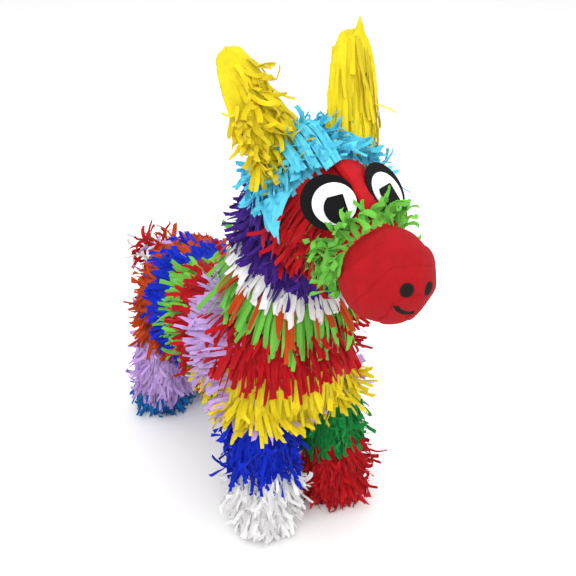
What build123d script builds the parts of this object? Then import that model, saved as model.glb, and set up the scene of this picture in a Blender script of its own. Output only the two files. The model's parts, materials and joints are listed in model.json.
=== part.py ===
"""Donkey pinata: a hollow papier-mache donkey on four tube legs, dressed in rows of cut crepe-paper fringe.

Frame: +Z up, the donkey faces -Y, its right flank is on -X, and the origin is on the floor under the middle.
The barrel has a hinged fill flap in its back, and a wire loop on a dowel inside it, for hanging.
"""

import os
from dataclasses import dataclass
from math import cos, radians, sin

from build123d import *

# ---------------------------------------------------------------- driving dimensions, in millimetres
REACH = 400.0  # longer than any cut needs to be
GLUE = 0.2  # glue line between two pieces of one body
WALL = 3.0  # papier-mache wall
CARD = 2.0  # grey card of the ears and feet
EYE_CARD = 1.0  # thin card of the eye discs
BODY_FRINGE = 12.0  # depth of the fringe on the barrel and the neck
HEAD_FRINGE = 8.0
LEG_FRINGE = 9.0

CHEST = Vector(0, -40, 200)  # middles of the barrel's two round ends
RUMP = Vector(0, 140, 184)
CHEST_RADIUS, RUMP_RADIUS = 76.0, 68.0

NECK_BASE = Vector(0, -45, 240)
NECK_TOP = Vector(0, -80, 375)
NECK_BASE_RADIUS, NECK_TOP_RADIUS = 56.0, 46.0

SKULL = Vector(0, -95, 405)  # middle of the round back of the head
BROW = Vector(0, -185, 373)  # middle of the head's narrow front
SKULL_RADIUS, BROW_RADIUS = 55.0, 36.0

MUZZLE = Vector(0, -217, 362)
MUZZLE_RADIUS = 41.0
MUZZLE_WRAP = 1.0  # crepe paper wound over the muzzle ball

FOOT_HEIGHT = 20.0  # middle of the round foot, above the floor
FOOT_RADIUS, THIGH_RADIUS = 30.0, 30.0
LEG_WALL = 2.5
LEG_FRINGE_LIFT = 2.0  # the fringe stops short of the floor
FRONT_FOOT, FRONT_THIGH = Vector(49, -85, FOOT_HEIGHT), Vector(42, -66, 165)
HIND_FOOT, HIND_THIGH = Vector(42, 196, FOOT_HEIGHT), Vector(42, 160, 160)

TAIL_ROOT, TAIL_END = Vector(0, 190, 220), Vector(-24, 244.2, 212)
TAIL_RADIUS, TAIL_FRINGE = 6.0, 9.0

EAR_ROOT = Vector(41, -107, 440)
EAR_TIP_OFFSET = Vector(29, 42, 100)
EAR_FACING = Vector(0.0, -0.92, 0.39)
EAR_LENGTH, EAR_WIDTH, EAR_BASE_WIDTH, EAR_SUNK = 112.0, 46.0, 30.0, 14.0
EAR_TIP_RADIUS, EAR_TIP_TURN = 13.0, 20.0  # the round tip starts this many degrees above its middle
EAR_TISSUE, EAR_FRINGE = 1.5, 6.0

EYE_MIDDLE = Vector(31, -170, 422)
EYE_FACING = Vector(0.32, -0.70, 0.63)
EYE_RADIUS = 25.5
EYE_WHITE = (20.0, 19.2)  # half width and half height
EYE_WHITE_SHIFT = {"right": (3.6, -3.4), "left": (-0.8, -4.2)}
PUPIL = (13.0, 14.0)  # half width and half height of the ellipse that each pupil is cut from
PUPIL_SHIFT = {"right": (5.0, -9.0), "left": (-1.0, -8.6)}
PUPIL_TURN = {"right": -5.0, "left": 14.0}
PUPIL_CUTS = {"right": (12.0, 7.5), "left": (9.8, 10.0)}  # straight cuts above and beside its middle

# Rows of fringe on the barrel, by distance behind the middle of the barrel
BODY_ROWS = {
    "lilac": (-72, -35),
    "red": (-35, 5),
    "green": (5, 35),
    "blue": (35, 70),
    "orange": (70, 105),
}
CHEST_ROW_HEIGHT = 150.0  # the red chest row is above this height and the yellow one below it
NECK_ROWS = {"green": (-30, 30), "orange": (30, 39), "white": (39, 54), "purple": (54, 220)}
HEAD_ROWS = {
    "crown_fringe_light_blue": (-80, 34),
    "face_fringe_red": (34, 74),
    "muzzle_fringe_green": (74, 96),
}
LEG_ROWS = {
    "front_right": (70, "white", "blue"),
    "front_left": (78, "red", "green"),
    "hind_right": (28, "turquoise", "lilac"),
    "hind_left": (28, "turquoise", "lilac"),
}

# Hanging loop of wire on a dowel, with its middle this far in front of or behind the barrel's middle
HANGER_AT = -8.0
DOWEL_RADIUS, DOWEL_LENGTH, DOWEL_DROP = 4.0, 56.0, 0.8
WIRE_RADIUS, EYE_WIRE_RADIUS, EYE_CLEARANCE = 1.0, 1.15, 0.1
LOOP_HALF_WIDTH, LOOP_LEG = 12.0, 44.0
LOOP_LEAN = 60.0  # degrees from upright, to either side
SLOT_HALF_LENGTH, SLOT_WIDTH = 16.5, 4.4
TROUGH_LEAN, TROUGH_WIDTH = 66.0, 32.0

# Fill flap, cut out of the top of the barrel behind the loop
FLAP_FRONT, FLAP_REAR = 36.0, 88.0
FLAP_HALF_WIDTH = 27.0
FLAP_GAP = 0.6
FLAP_FRINGE = 8.0
FLAP_FRINGE_INSET = 7.0  # keeps the flap's fringe clear of its crease
WELL_LEFT = 43.0  # the barrel's fringe starts this far out, so that the flap can fold back

os.makedirs("parts", exist_ok=True)


# ---------------------------------------------------------------- shapes that several pieces share
@dataclass(frozen=True)
class Bar:
    """A tapered round bar with ball ends. The seam of its surface is turned by seam, in degrees."""

    start: Vector
    end: Vector
    start_radius: float
    end_radius: float
    seam: float = 0.0

    @property
    def along(self):
        return (self.end - self.start).normalized()

    @property
    def length(self):
        return (self.end - self.start).length

    def profile(self, grow):
        """Half of the bar's outline, grown outwards by grow, with the bar's axis as its x axis."""
        r0, r1 = self.start_radius + grow, self.end_radius + grow
        with BuildSketch() as half:
            with BuildLine():
                CenterArc((0, 0), r0, 90, 90)
                if r0 == r1:
                    Line((0, r0), (self.length, r1))
                else:
                    Spline((0, r0), (self.length, r1), tangents=((1, 0), (1, 0)))
                CenterArc((self.length, 0), r1, 0, 90)
                Line((-r0, 0), (self.length + r1, 0))
            make_face()
        return half.sketch

    def solid(self, outside=0.0, inside=None, low=None, high=None):
        """The bar grown by outside, hollowed up to inside, between two distances along it from its start."""
        aside = self.along.cross(Vector(0, 0, 1)).normalized().rotate(Axis((0, 0, 0), self.along), self.seam)
        first = -self.start_radius - outside - 1 if low is None else low
        last = self.length + self.end_radius + outside + 1 if high is None else high
        with BuildPart() as bar:
            with BuildSketch(Plane(origin=self.start, x_dir=self.along, z_dir=aside)):
                add(self.profile(outside))
                if inside is not None:
                    add(self.profile(inside), mode=Mode.SUBTRACT)
                if low is not None or high is not None:
                    with Locations(((first + last) / 2, 0)):
                        Rectangle(last - first, REACH, mode=Mode.INTERSECT)
            revolve(axis=Axis(self.start, self.along))
        return bar.part


BARREL = Bar(CHEST, RUMP, CHEST_RADIUS, RUMP_RADIUS, seam=187)
NECK = Bar(NECK_BASE, NECK_TOP, NECK_BASE_RADIUS, NECK_TOP_RADIUS, seam=68)
HEAD = Bar(SKULL, BROW, SKULL_RADIUS, BROW_RADIUS, seam=201)
TAIL = Bar(TAIL_ROOT, TAIL_END, TAIL_RADIUS, TAIL_RADIUS)


def mirrored(point):
    return Vector(-point.X, point.Y, point.Z)


LEGS = {
    "front_right": Bar(mirrored(FRONT_FOOT), mirrored(FRONT_THIGH), FOOT_RADIUS, THIGH_RADIUS, seam=117),
    "front_left": Bar(FRONT_FOOT, FRONT_THIGH, FOOT_RADIUS, THIGH_RADIUS, seam=117),
    "hind_right": Bar(mirrored(HIND_FOOT), mirrored(HIND_THIGH), FOOT_RADIUS, THIGH_RADIUS, seam=117),
    "hind_left": Bar(HIND_FOOT, HIND_THIGH, FOOT_RADIUS, THIGH_RADIUS, seam=117),
}


def ball(grow=0.0):
    with BuildPart(Plane(origin=MUZZLE)) as solid:
        Sphere(MUZZLE_RADIUS + grow)
    return solid.part


def keep(part, label):
    """Save one piece. Any crumb that a cut left beside it is dropped."""
    solid = part.solids().sort_by(SortBy.VOLUME)[-1]
    solid.label = label
    export_step(solid, f"parts/{label}.step")


# ---------------------------------------------------------------- frames of the loop, flap, ears and eyes
UP = Vector(1, 0, 0).cross(BARREL.along)
TAPER = (CHEST_RADIUS - RUMP_RADIUS) / BARREL.length
REARWARD = (BARREL.along - UP * TAPER).normalized()  # the mean line of the back


def on_back(distance, radius_change, aside=0.0):
    """A point over the barrel's axis: so far behind its middle, and so far outside its wall at that aside."""
    behind_chest = BARREL.length / 2 + distance
    radius = CHEST_RADIUS - TAPER * behind_chest + radius_change
    height = (radius**2 - aside**2) ** 0.5
    return CHEST + BARREL.along * behind_chest + UP * height + Vector(aside, 0, 0)


dowel_plane = Plane(
    origin=on_back(HANGER_AT, -WALL - DOWEL_RADIUS - DOWEL_DROP), x_dir=(1, 0, 0), z_dir=REARWARD * -1
)
flap_hinge = Axis(on_back((FLAP_FRONT + FLAP_REAR) / 2, 0, FLAP_HALF_WIDTH), REARWARD)


def ear_plane(side):
    root = EAR_ROOT if side > 0 else mirrored(EAR_ROOT)
    upward = (EAR_TIP_OFFSET if side > 0 else mirrored(EAR_TIP_OFFSET)).normalized()
    normal = (EAR_FACING - upward * EAR_FACING.dot(upward)).normalized()
    return Plane(origin=root, x_dir=upward.cross(normal), z_dir=normal)


def eye_plane(side):
    middle = EYE_MIDDLE if side > 0 else mirrored(EYE_MIDDLE)
    normal = (EYE_FACING if side > 0 else mirrored(EYE_FACING)).normalized()
    return Plane(origin=middle, x_dir=Vector(1, 0, 0) - normal * normal.X, z_dir=normal)


# ---------------------------------------------------------------- room that the moving pieces need
def loop_trough():
    """The room that the swinging loop needs in the fringe: a wedge that opens upwards from the dowel."""
    reach = 60.0
    with BuildPart() as wedge:
        with BuildSketch(dowel_plane.offset(-TROUGH_WIDTH / 2)):
            with BuildLine():
                top_left = (-reach * sin(radians(TROUGH_LEAN)), reach * cos(radians(TROUGH_LEAN)))
                top_right = (-top_left[0], top_left[1])
                Polyline((0, 0), top_right, (top_right[0], reach), (top_left[0], reach), top_left, close=True)
            make_face()
        extrude(amount=TROUGH_WIDTH)
    return wedge.part


def flap_block(left, right, front, rear, height=100.0):
    """A block through the back, square to the flap's hinge, between two distances aside and two behind."""
    with BuildPart() as block:
        with BuildSketch(Plane(origin=on_back(front, 0), x_dir=(1, 0, 0), z_dir=REARWARD)):
            with Locations(((left + right) / 2, 0)):
                Rectangle(right - left, height)
        extrude(amount=rear - front)
    return block.part


trough = loop_trough()
well = flap_block(-FLAP_HALF_WIDTH - 2, WELL_LEFT, FLAP_FRONT - FLAP_GAP, FLAP_REAR + FLAP_GAP)


# ---------------------------------------------------------------- shells
def make_body_shell():
    gap = FLAP_GAP
    hole = flap_block(-FLAP_HALF_WIDTH - gap, FLAP_HALF_WIDTH + GLUE, FLAP_FRONT - gap, FLAP_REAR + gap)
    with BuildPart() as shell:
        add(BARREL.solid(0, -WALL))
        add(hole, mode=Mode.SUBTRACT)
        for side in (-1, 1):
            with BuildSketch(dowel_plane.offset(side * LOOP_HALF_WIDTH - SLOT_WIDTH / 2)):
                with Locations((0, 10)):
                    Rectangle(2 * SLOT_HALF_LENGTH, 20)
            extrude(amount=SLOT_WIDTH, mode=Mode.SUBTRACT)
    keep(shell.part, "body_shell")


def make_neck_shell():
    with BuildPart() as shell:
        add(NECK.solid(0, -WALL))
        add(BARREL.solid(GLUE), mode=Mode.SUBTRACT)
        add(HEAD.solid(GLUE), mode=Mode.SUBTRACT)
    keep(shell.part, "neck_shell")


def make_head_shell():
    with BuildPart() as shell:
        add(HEAD.solid(0, -WALL))
        add(ball(GLUE), mode=Mode.SUBTRACT)
    keep(shell.part, "head_shell")


def make_muzzle():
    with BuildPart() as shell:
        add(ball())
        add(ball(-WALL), mode=Mode.SUBTRACT)
    keep(shell.part, "muzzle_ball")
    with BuildPart() as wrap:
        add(ball(GLUE + MUZZLE_WRAP))
        add(ball(GLUE), mode=Mode.SUBTRACT)
        add(HEAD.solid(GLUE), mode=Mode.SUBTRACT)
    keep(wrap.part, "muzzle_wrap")


def make_leg(name):
    leg = LEGS[name]
    with BuildPart() as tube:
        add(leg.solid(0, -LEG_WALL))
        split(bisect_by=Plane.XY, keep=Keep.TOP)
        add(BARREL.solid(GLUE), mode=Mode.SUBTRACT)
    keep(tube.part, f"leg_tube_{name}")
    hole_radius = ((FOOT_RADIUS - LEG_WALL) ** 2 - FOOT_HEIGHT**2) ** 0.5
    with BuildPart() as disc:
        with BuildSketch(Plane(origin=(leg.start.X, leg.start.Y, 0))):
            Circle(hole_radius - GLUE)
        extrude(amount=CARD)
    keep(disc.part, f"foot_disc_{name}")


def make_tail_core():
    with BuildPart() as core:
        add(TAIL.solid())
        add(BARREL.solid(GLUE), mode=Mode.SUBTRACT)
    keep(core.part, "tail_core")


# ---------------------------------------------------------------- ears and eyes
def ear_leaf(plane, start, thickness, grow=0.0, sunk=EAR_SUNK):
    """The leaf shape of an ear, from start above its plane, grown outwards by grow."""
    half_base, half_width = EAR_BASE_WIDTH / 2 + grow, EAR_WIDTH / 2 + grow
    with BuildPart() as leaf:
        with BuildSketch(plane.offset(start)):
            with BuildLine():
                tip_middle = EAR_LENGTH - EAR_TIP_RADIUS
                tip = CenterArc((0, tip_middle), EAR_TIP_RADIUS + grow, EAR_TIP_TURN, 180 - 2 * EAR_TIP_TURN)
                for side, end in ((1, tip @ 0), (-1, tip @ 1)):
                    ThreePointArc((side * half_base, -sunk), (side * half_width, EAR_LENGTH * 0.4), end)
                Line((-half_base, -sunk), (half_base, -sunk))
            make_face()
        extrude(amount=thickness)
    return leaf.part


def make_ear(side, name):
    plane = ear_plane(side)
    with BuildPart() as card:
        add(ear_leaf(plane, -CARD / 2, CARD))
        add(HEAD.solid(GLUE), mode=Mode.SUBTRACT)
    keep(card.part, f"ear_card_{name}")
    behind = -CARD / 2 - GLUE - EAR_TISSUE
    layers = {"ear_tissue": (behind, EAR_TISSUE), "ear_fringe": (CARD / 2 + GLUE, EAR_FRINGE)}
    for layer, (start, thickness) in layers.items():
        with BuildPart() as cover:
            add(ear_leaf(plane, start, thickness, grow=2.0))
            add(HEAD.solid(HEAD_FRINGE + GLUE), mode=Mode.SUBTRACT)
        keep(cover.part, f"{layer}_{name}")


def make_eye(side, name):
    plane = eye_plane(side)
    with BuildPart() as backing:
        with BuildSketch(plane):
            Circle(EYE_RADIUS)
        extrude(amount=EYE_CARD)
    keep(backing.part, f"eye_backing_{name}")
    with BuildPart() as white:
        with BuildSketch(plane.offset(EYE_CARD + GLUE)):
            with Locations(EYE_WHITE_SHIFT[name]):
                Ellipse(*EYE_WHITE)
        extrude(amount=EYE_CARD)
    keep(white.part, f"eye_white_{name}")
    with BuildPart() as pupil:
        with BuildSketch(plane.offset(2 * (EYE_CARD + GLUE))):
            with Locations(Location(PUPIL_SHIFT[name], PUPIL_TURN[name])):
                Ellipse(*PUPIL)
                top, side_cut = PUPIL_CUTS[name]
                with Locations((side_cut - REACH / 2, top - REACH / 2)):
                    Rectangle(REACH, REACH, mode=Mode.INTERSECT)
        extrude(amount=EYE_CARD)
    keep(pupil.part, f"eye_pupil_{name}")


def eye_seat(side):
    """The room in front of and around an eye's cards, which the face's fringe leaves free."""
    with BuildPart() as seat:
        with BuildSketch(eye_plane(side).offset(-GLUE)):
            Circle(EYE_RADIUS + GLUE)
        extrude(amount=40)
    return seat.part


# ---------------------------------------------------------------- fringe
def make_body_fringe():
    rows = {f"body_fringe_{colour}": edges for colour, edges in BODY_ROWS.items()}
    rows["rump_fringe_lilac"] = (BODY_ROWS["orange"][1], None)
    middle = BARREL.length / 2
    for label, (front, rear) in rows.items():
        high = None if rear is None else middle + rear - GLUE / 2
        with BuildPart() as row:
            add(BARREL.solid(BODY_FRINGE, GLUE, middle + front + GLUE / 2, high))
            if rear is None:
                add(TAIL.solid(TAIL_FRINGE + GLUE), mode=Mode.SUBTRACT)
            else:
                if rear > FLAP_FRONT and front < FLAP_REAR:
                    add(well, mode=Mode.SUBTRACT)
                if abs((front + rear) / 2 - HANGER_AT) < (rear - front + TROUGH_WIDTH) / 2:
                    add(trough, mode=Mode.SUBTRACT)
            if front < 0:
                add(NECK.solid(GLUE), mode=Mode.SUBTRACT)
            for leg in LEGS.values():
                if (leg.start.Y < 0) == (front < 0):
                    add(leg.solid(GLUE), mode=Mode.SUBTRACT)
        keep(row.part, label)


def make_chest_fringe():
    edge = Plane(origin=(0, 0, CHEST_ROW_HEIGHT))
    rear = BARREL.length / 2 + BODY_ROWS["lilac"][0] - GLUE / 2
    for colour, side, gap in (("red", Keep.TOP, GLUE / 2), ("yellow", Keep.BOTTOM, -GLUE / 2)):
        with BuildPart() as row:
            add(BARREL.solid(BODY_FRINGE, GLUE, high=rear))
            split(bisect_by=edge.offset(gap), keep=side)
            add(NECK.solid(GLUE), mode=Mode.SUBTRACT)
            for name in ("front_right", "front_left"):
                add(LEGS[name].solid(GLUE), mode=Mode.SUBTRACT)
        keep(row.part, f"chest_fringe_{colour}")


def make_neck_fringe():
    for colour, (low, high) in NECK_ROWS.items():
        with BuildPart() as row:
            add(NECK.solid(BODY_FRINGE, GLUE, low + GLUE / 2, high - GLUE / 2))
            add(BARREL.solid(BODY_FRINGE + GLUE), mode=Mode.SUBTRACT)
            add(HEAD.solid(HEAD_FRINGE + GLUE), mode=Mode.SUBTRACT)
        keep(row.part, f"neck_fringe_{colour}")


def make_head_fringe():
    for label, (rear, front) in HEAD_ROWS.items():
        with BuildPart() as row:
            add(HEAD.solid(HEAD_FRINGE, GLUE, rear + GLUE / 2, front - GLUE / 2))
            add(NECK.solid(GLUE), mode=Mode.SUBTRACT)
            add(ball(MUZZLE_WRAP + 2 * GLUE), mode=Mode.SUBTRACT)
            for side in (-1, 1):
                add(eye_seat(side), mode=Mode.SUBTRACT)
                ear_slot = ear_leaf(ear_plane(side), -CARD / 2 - GLUE, CARD + 2 * GLUE, GLUE, EAR_SUNK + 5)
                add(ear_slot, mode=Mode.SUBTRACT)
        keep(row.part, label)


def make_leg_fringe(name):
    leg = LEGS[name]
    edge, low_colour, high_colour = LEG_ROWS[name]
    seam = edge - FOOT_HEIGHT
    rows = ((low_colour, None, seam - GLUE / 2), (high_colour, seam + GLUE / 2, leg.length))
    for colour, low, high in rows:
        with BuildPart() as row:
            add(leg.solid(LEG_FRINGE, GLUE, low, high))
            if low is None:
                split(bisect_by=Plane(origin=(0, 0, LEG_FRINGE_LIFT)), keep=Keep.TOP)
            add(BARREL.solid(BODY_FRINGE + GLUE), mode=Mode.SUBTRACT)
        keep(row.part, f"leg_fringe_{name}_{colour}")


def make_tail_fringe():
    with BuildPart() as row:
        add(TAIL.solid(TAIL_FRINGE, GLUE))
        add(BARREL.solid(GLUE), mode=Mode.SUBTRACT)
    keep(row.part, "tail_fringe_red")


# ---------------------------------------------------------------- moving pieces
def make_fill_flap():
    opening = flap_block(-FLAP_HALF_WIDTH, FLAP_HALF_WIDTH, FLAP_FRONT, FLAP_REAR)
    with BuildPart() as flap:
        add(BARREL.solid(0, -WALL))
        add(opening, mode=Mode.INTERSECT)
    keep(flap.part, "fill_flap")
    seam = BODY_ROWS["blue"][1]
    rows = (("blue", FLAP_FRONT, seam - GLUE / 2), ("orange", seam + GLUE / 2, FLAP_REAR))
    for colour, front, rear in rows:
        covered = flap_block(-FLAP_HALF_WIDTH, FLAP_HALF_WIDTH - FLAP_FRINGE_INSET, front, rear)
        with BuildPart() as row:
            add(BARREL.solid(FLAP_FRINGE, GLUE))
            add(covered, mode=Mode.INTERSECT)
        keep(row.part, f"flap_fringe_{colour}")


def make_hanger():
    with BuildPart() as dowel:
        with BuildSketch(dowel_plane.offset(-DOWEL_LENGTH / 2)):
            Circle(DOWEL_RADIUS)
        extrude(amount=DOWEL_LENGTH)
    keep(dowel.part, "hanger_dowel")

    lean = dowel_plane.x_dir * sin(radians(LOOP_LEAN)) + dowel_plane.y_dir * cos(radians(LOOP_LEAN))
    along_dowel = dowel_plane.z_dir
    loop_plane = Plane(origin=dowel_plane.origin, x_dir=along_dowel, z_dir=along_dowel.cross(lean))
    wire_ring = DOWEL_RADIUS + EYE_CLEARANCE + EYE_WIRE_RADIUS
    with BuildPart() as loop:
        with BuildLine(loop_plane) as path:
            Line((LOOP_HALF_WIDTH, wire_ring), (LOOP_HALF_WIDTH, LOOP_LEG))
            CenterArc((0, LOOP_LEG), LOOP_HALF_WIDTH, 0, 180)
            Line((-LOOP_HALF_WIDTH, LOOP_LEG), (-LOOP_HALF_WIDTH, wire_ring))
        with BuildSketch(Plane(origin=path.line @ 0, z_dir=path.line % 0)):
            Circle(WIRE_RADIUS)
        sweep()
        for side in (-1, 1):
            with BuildSketch(loop_plane):
                with Locations((side * LOOP_HALF_WIDTH, wire_ring)):
                    Circle(EYE_WIRE_RADIUS)
            revolve(axis=Axis(dowel_plane.origin, dowel_plane.z_dir))
    keep(loop.part, "hanger_loop")


def main():
    make_body_shell()
    make_neck_shell()
    make_head_shell()
    make_muzzle()
    make_tail_core()
    for side, name in ((-1, "right"), (1, "left")):
        make_ear(side, name)
        make_eye(side, name)
    for name in LEGS:
        make_leg(name)
        make_leg_fringe(name)
    make_body_fringe()
    make_chest_fringe()
    make_neck_fringe()
    make_head_fringe()
    make_tail_fringe()
    make_fill_flap()
    make_hanger()
    print("flap hinge", flap_hinge.position, flap_hinge.direction)
    print("dowel", dowel_plane.origin, dowel_plane.z_dir)


main()
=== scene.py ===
"""The looks of a donkey pinata: cut crepe fringe over papier-mache shells, card eyes and a wound muzzle.

Everything is in metres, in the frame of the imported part: +Z up, the donkey faces -Y, its right is on -X.
"""

import json
from dataclasses import dataclass, replace
from math import cos, pi, radians, sin

import bpy
import numpy as np
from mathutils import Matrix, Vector


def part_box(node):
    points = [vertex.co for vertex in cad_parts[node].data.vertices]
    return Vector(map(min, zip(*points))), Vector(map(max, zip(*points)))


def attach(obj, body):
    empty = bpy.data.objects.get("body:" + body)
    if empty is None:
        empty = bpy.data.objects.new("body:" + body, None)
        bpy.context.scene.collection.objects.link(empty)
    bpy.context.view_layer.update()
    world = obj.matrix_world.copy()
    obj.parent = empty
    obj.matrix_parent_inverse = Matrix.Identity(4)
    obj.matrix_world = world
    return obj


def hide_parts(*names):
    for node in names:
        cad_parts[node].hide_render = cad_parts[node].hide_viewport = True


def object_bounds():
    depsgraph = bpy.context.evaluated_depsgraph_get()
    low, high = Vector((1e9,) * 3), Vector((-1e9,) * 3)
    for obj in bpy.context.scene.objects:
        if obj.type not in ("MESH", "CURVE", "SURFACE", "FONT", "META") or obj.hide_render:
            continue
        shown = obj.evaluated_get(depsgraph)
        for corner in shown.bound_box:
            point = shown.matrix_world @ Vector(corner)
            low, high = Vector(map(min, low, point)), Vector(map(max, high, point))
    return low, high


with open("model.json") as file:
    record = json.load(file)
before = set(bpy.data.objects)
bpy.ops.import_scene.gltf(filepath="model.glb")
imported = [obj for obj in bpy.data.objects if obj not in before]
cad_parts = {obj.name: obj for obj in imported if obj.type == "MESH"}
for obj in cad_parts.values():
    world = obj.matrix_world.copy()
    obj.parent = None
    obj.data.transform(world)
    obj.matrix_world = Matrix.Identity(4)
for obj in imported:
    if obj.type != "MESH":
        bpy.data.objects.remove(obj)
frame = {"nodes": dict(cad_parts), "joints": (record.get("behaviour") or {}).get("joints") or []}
cad_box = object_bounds()
rng = np.random.default_rng(11)

MM = 0.001
UP = np.array((0.0, 0.0, 1.0))
LEFT = np.array((1.0, 0.0, 0.0))
STEPS = 8  # bends in a strand
PAPER = 0.25 * MM  # thickness of the crepe
SHEET = 0.4 * MM  # thickness of the pasted tissue
REACH = cad_box[1][0] + 11 * MM  # as far as a strand stands out to the side


# ---------------------------------------------------------------- vectors, one per row
def dots(a, b):
    return np.sum(a * b, axis=-1, keepdims=True)


def unit(v):
    return v / np.maximum(np.linalg.norm(v, axis=-1, keepdims=True), 1e-9)


def turn(v, axis, angle):
    """Each vector turned about its axis by its angle in radians."""
    c, s = np.cos(angle)[..., None], np.sin(angle)[..., None]
    return v * c + np.cross(axis, v) * s + axis * dots(axis, v) * (1 - c)


def smooth(value, low, high):
    t = np.clip((value - low) / (high - low), 0, 1)
    return t * t * (3 - 2 * t)


def waves(angle, count=4, low=2, high=9):
    """A smooth random function round a ring, about as large as 1."""
    total = np.zeros_like(angle)
    for _ in range(count):
        total += np.sin(angle * rng.integers(low, high) + rng.uniform(0, 2 * pi))
    return total / count**0.5


# ---------------------------------------------------------------- the shells, as round bars with ball ends
@dataclass(frozen=True)
class Bar:
    start: tuple
    end: tuple
    start_radius: float
    end_radius: float
    zero: tuple = (0.0, 0.0, 1.0)  # the side of the bar that angle 0 is on; 90 degrees is to the left

    @property
    def length(self):
        return float(np.linalg.norm(np.subtract(self.end, self.start)))

    @property
    def along(self):
        return np.subtract(self.end, self.start) / self.length

    def radius(self, over):
        share = over / self.length
        return self.start_radius + (self.end_radius - self.start_radius) * share**2 * (3 - 2 * share)

    def distance(self, points):
        """How far outside the bar each point is, and the way straight out from there."""
        x = np.clip((points - self.start) @ self.along, 0, self.length)
        out = points - (self.start + x[..., None] * self.along)
        return np.linalg.norm(out, axis=-1) - self.radius(x), unit(out)

    def surface(self, x, angle):
        """Points on the bar: x along it from its start, past its ends too, and angle in radians round it."""
        x, angle = np.broadcast_arrays(np.asarray(x, float), np.asarray(angle, float))
        over = np.clip(x, 0, self.length)
        ring = np.sqrt(np.maximum(self.radius(over) ** 2 - (x - over) ** 2, 1e-8))
        zero = unit(np.array(self.zero) - self.along * (np.array(self.zero) @ self.along))
        quarter = np.cross(zero, self.along)
        quarter = quarter * np.sign(quarter @ LEFT)
        radial = np.cos(angle)[..., None] * zero + np.sin(angle)[..., None] * quarter
        points = np.array(self.start) + x[..., None] * self.along + radial * ring[..., None]
        return points, self.distance(points)[1]


def ball(middle, radius, zero=(0.0, 0.0, 1.0)):
    """A ball as a very short bar, with its poles below and above."""
    return Bar(middle, tuple(np.add(middle, UP * (0.01 * MM))), radius, radius, zero)


def mirrored(bar):
    return replace(bar, start=(-bar.start[0], *bar.start[1:]), end=(-bar.end[0], *bar.end[1:]))


BARREL = Bar((0, -0.040, 0.200), (0, 0.140, 0.184), 0.076, 0.068)
NECK = Bar((0, -0.045, 0.240), (0, -0.080, 0.375), 0.056, 0.046, zero=(0, -1, 0))
HEAD = Bar((0, -0.095, 0.405), (0, -0.185, 0.373), 0.055, 0.036)
MUZZLE = ball((0, -0.217, 0.362), 0.0422)
CHEST = ball((0, -0.040, 0.200), 0.076, zero=(0, -1, 0))
FRONT_LEFT = Bar((0.049, -0.085, 0.020), (0.042, -0.066, 0.165), 0.030, 0.030, zero=(0, -1, 0))
HIND_LEFT = Bar((0.042, 0.196, 0.020), (0.042, 0.160, 0.160), 0.030, 0.030, zero=(0, -1, 0))
LEGS = {
    "front_right": mirrored(FRONT_LEFT),
    "front_left": FRONT_LEFT,
    "hind_right": mirrored(HIND_LEFT),
    "hind_left": HIND_LEFT,
}
TAIL = Bar((0, 0.190, 0.220), (-0.024, 0.2442, 0.212), 0.006, 0.006)
SHELLS = (BARREL, NECK, HEAD, MUZZLE, *LEGS.values())


# ---------------------------------------------------------------- materials
class Paint:
    """A node material, built by a few short calls."""

    def __init__(self, name, colour, roughness=0.8, sheen=0.0):
        self.material = bpy.data.materials.new(name)
        self.material.use_nodes = True
        self.material.diffuse_color = (*colour, 1)
        self.tree = self.material.node_tree
        self.shader = self.tree.nodes["Principled BSDF"]
        self.shader.inputs["Base Color"].default_value = (*colour, 1)
        self.shader.inputs["Roughness"].default_value = roughness
        self.shader.inputs["Sheen Weight"].default_value = sheen
        self.shader.inputs["Specular IOR Level"].default_value = 0.2

    def node(self, kind, links=None, **settings):
        made = self.tree.nodes.new(kind)
        for name, value in settings.items():
            setattr(made, name, value)
        for socket, source in (links or {}).items():
            self.set(made.inputs[socket], source)
        return made

    def set(self, socket, source):
        if isinstance(source, bpy.types.NodeSocket):
            self.tree.links.new(source, socket)
        else:
            socket.default_value = source

    def math(self, operation, *values):
        return self.node("ShaderNodeMath", dict(enumerate(values)), operation=operation).outputs[0]

    def noise(self, scale, detail=3.0, vector=None, roughness=0.5):
        links = {"Scale": scale, "Detail": detail, "Roughness": roughness}
        if vector is not None:
            links["Vector"] = vector
        return self.node("ShaderNodeTexNoise", links).outputs["Fac"]

    def remap(self, value, low, high, to_low=0.0, to_high=1.0):
        links = {"Value": value, "From Min": low, "From Max": high, "To Min": to_low, "To Max": to_high}
        return self.node("ShaderNodeMapRange", links).outputs["Result"]

    def mix(self, share, first, second):
        made = self.node("ShaderNodeMix", data_type="RGBA")
        self.set(made.inputs[0], share)
        self.set(made.inputs[6], (*first, 1) if isinstance(first, tuple) else first)
        self.set(made.inputs[7], (*second, 1) if isinstance(second, tuple) else second)
        return made.outputs[2]

    def place(self):
        return self.node("ShaderNodeTexCoord").outputs["Object"]

    def attribute(self, name):
        return self.node("ShaderNodeAttribute", attribute_name=name).outputs["Fac"]

    def bump(self, height, strength, distance):
        made = self.node("ShaderNodeBump", {"Height": height, "Strength": strength, "Distance": distance})
        self.tree.links.new(made.outputs["Normal"], self.shader.inputs["Normal"])

    def colour(self, source):
        self.tree.links.new(source, self.shader.inputs["Base Color"])

    def glow_through(self, source, share):
        """Some of the light that falls on the far side comes through, as in thin paper."""
        through = self.node("ShaderNodeBsdfTranslucent", {"Color": source}).outputs[0]
        both = self.node("ShaderNodeMixShader", {0: share, 1: self.shader.outputs[0], 2: through}).outputs[0]
        self.tree.links.new(both, self.tree.nodes["Material Output"].inputs["Surface"])


def toned(colour, gain):
    return tuple(min(1.0, c * gain) for c in colour)


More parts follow.
